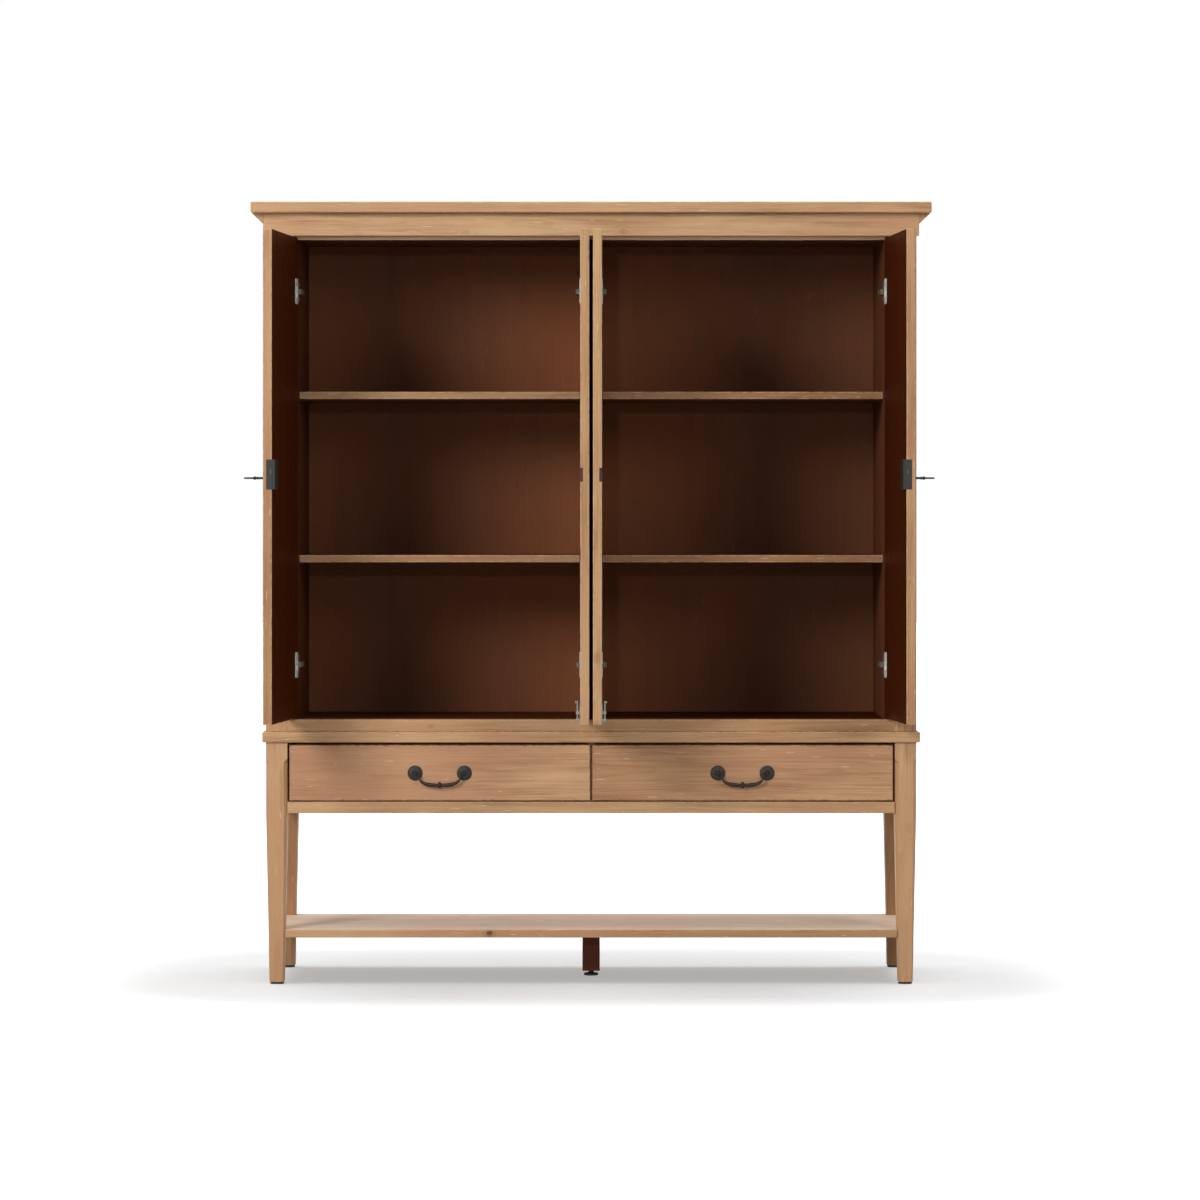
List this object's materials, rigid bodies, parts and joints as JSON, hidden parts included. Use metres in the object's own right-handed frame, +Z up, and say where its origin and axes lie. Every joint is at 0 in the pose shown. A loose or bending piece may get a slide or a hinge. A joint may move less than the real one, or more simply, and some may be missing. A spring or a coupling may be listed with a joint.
{
  "type": "two-section wardrobe cabinet with drawers",
  "caption": "Tall pine wardrobe cabinet with paired hinged doors and dark shelved interior over side-by-side drawers, on tapered legs with an open lower shelf",
  "frame": {"origin": "on the floor under the middle foot, at the middle of the width and of the depth", "axes": "+X to the right seen from the front, +Y to the back, +Z up"},
  "size_m": [1.765, 0.8741, 2.033],
  "materials": {
    "pine": "light brushed natural pine with grain, small knots and worn edges",
    "dark_wood": "dark brown stain, satin",
    "iron": "black forged iron, waxed",
    "nickel": "nickel plated steel",
    "lock_steel": "dull plated steel",
    "glide_black": "black matte plastic"
  },
  "bodies": {
    "case": {"top_board": "pine", "frieze_board": "pine", "side_crowns": "pine", "upper_posts": "pine", "outer_side_panels": "pine", "outer_side_rails": "pine", "top_rail": "pine", "bottom_rail": "pine", "front_stiles": "dark_wood", "inner_side_panels": "dark_wood", "partition_panels": "dark_wood", "case_top": "dark_wood", "case_floor": "dark_wood", "back_panels": "dark_wood", "shelves": "dark_wood", "shelf_lippings": "pine", "shelf_pins": "lock_steel", "hinge_arms": "nickel", "waist_board": "pine", "legs": "pine", "drawer_rail": "pine", "base_aprons": "pine", "drawer_divider": "pine", "drawer_runners": "pine", "lower_shelf": "pine", "middle_foot": "dark_wood", "leg_glides": "glide_black"},
    "middle_foot_glide": {"middle_glide": "glide_black"},
    "left_outer_door": {"left_outer_door_frame": "pine", "left_outer_door_panel": "pine", "left_outer_hinge_cups": "nickel", "left_lock_case": "lock_steel"},
    "left_key_body": {"left_key": "iron"},
    "left_bolt_body": {"left_lock_bolt": "nickel"},
    "left_inner_door": {"left_inner_door_frame": "pine", "left_inner_door_panel": "pine", "left_inner_hinge_cups": "nickel", "left_strike": "lock_steel", "left_slide_plate": "nickel"},
    "left_slide_bolt": {"left_slide_rod": "nickel"},
    "right_inner_door": {"right_inner_door_frame": "pine", "right_inner_door_panel": "pine", "right_inner_hinge_cups": "nickel", "right_strike": "lock_steel", "right_slide_plate": "nickel"},
    "right_slide_bolt": {"right_slide_rod": "nickel"},
    "right_outer_door": {"right_outer_door_frame": "pine", "right_outer_door_panel": "pine", "right_outer_hinge_cups": "nickel", "right_lock_case": "lock_steel"},
    "right_key_body": {"right_key": "iron"},
    "right_bolt_body": {"right_lock_bolt": "nickel"},
    "left_drawer": {"left_drawer_front": "pine", "left_drawer_box": "pine", "left_pull_posts": "iron"},
    "left_bail_body": {"left_bail": "iron"},
    "right_drawer": {"right_drawer_front": "pine", "right_drawer_box": "pine", "right_pull_posts": "iron"},
    "right_bail_body": {"right_bail": "iron"}
  },
  "joints": [
    {"name": "middle_glide_turn", "type": "hinge", "parent": "case", "child": "middle_foot_glide", "pos_m": [0, 0, 0.03], "axis": [0, 0, 1], "continuous": true},
    {"name": "left_outer_door_swing", "type": "hinge", "parent": "case", "child": "left_outer_door", "pos_m": [-0.7795, -0.242, 1.3], "axis": [0, 0, -1], "range_deg": [-96, 6]},
    {"name": "left_key_turn", "type": "hinge", "parent": "left_outer_door", "child": "left_key_body", "pos_m": [-0.81712, -0.59998, 1.314], "axis": [0.9945, -0.1045, 0], "range_deg": [0, 180]},
    {"name": "left_bolt_slide", "type": "slide", "parent": "left_outer_door", "child": "left_bolt_body", "axis": [-0.1045, -0.9945, 0], "range_m": [0, 0.009]},
    {"name": "left_inner_door_swing", "type": "hinge", "parent": "case", "child": "left_inner_door", "pos_m": [-0.0126, -0.242, 1.3], "axis": [0, 0, 1], "range_deg": [-90, 0]},
    {"name": "left_slide_bolt_travel", "type": "slide", "parent": "left_inner_door", "child": "left_slide_bolt", "axis": [0, 0, -1], "range_m": [0, 0.016]},
    {"name": "right_inner_door_swing", "type": "hinge", "parent": "case", "child": "right_inner_door", "pos_m": [0.0126, -0.242, 1.3], "axis": [0, 0, -1], "range_deg": [-90, 0]},
    {"name": "right_slide_bolt_travel", "type": "slide", "parent": "right_inner_door", "child": "right_slide_bolt", "axis": [0, 0, -1], "range_m": [0, 0.016]},
    {"name": "right_outer_door_swing", "type": "hinge", "parent": "case", "child": "right_outer_door", "pos_m": [0.7795, -0.242, 1.3], "axis": [0, 0, 1], "range_deg": [-94.5, 7.5]},
    {"name": "right_key_turn", "type": "hinge", "parent": "right_outer_door", "child": "right_key_body", "pos_m": [0.80774, -0.60084, 1.314], "axis": [0.9969, 0.0785, 0], "range_deg": [0, 180]},
    {"name": "right_bolt_slide", "type": "slide", "parent": "right_outer_door", "child": "right_bolt_body", "axis": [0.0785, -0.9969, 0], "range_m": [0, 0.009]},
    {"name": "left_drawer_slide", "type": "slide", "parent": "case", "child": "left_drawer", "axis": [0, -1, 0], "range_m": [0, 0.33]},
    {"name": "left_bail_swing", "type": "hinge", "parent": "left_drawer", "child": "left_bail_body", "pos_m": [-0.3936, -0.263, 0.55], "axis": [-1, 0, 0], "range_deg": [0, 160]},
    {"name": "right_drawer_slide", "type": "slide", "parent": "case", "child": "right_drawer", "axis": [0, -1, 0], "range_m": [0, 0.33]},
    {"name": "right_bail_swing", "type": "hinge", "parent": "right_drawer", "child": "right_bail_body", "pos_m": [0.3936, -0.263, 0.55], "axis": [-1, 0, 0], "range_deg": [0, 160]}
  ],
  "couplings": [
    {"joint": "left_bolt_slide", "follows": "left_key_turn", "m_per_rad": 0.002864},
    {"joint": "right_bolt_slide", "follows": "right_key_turn", "m_per_rad": 0.002864}
  ]
}
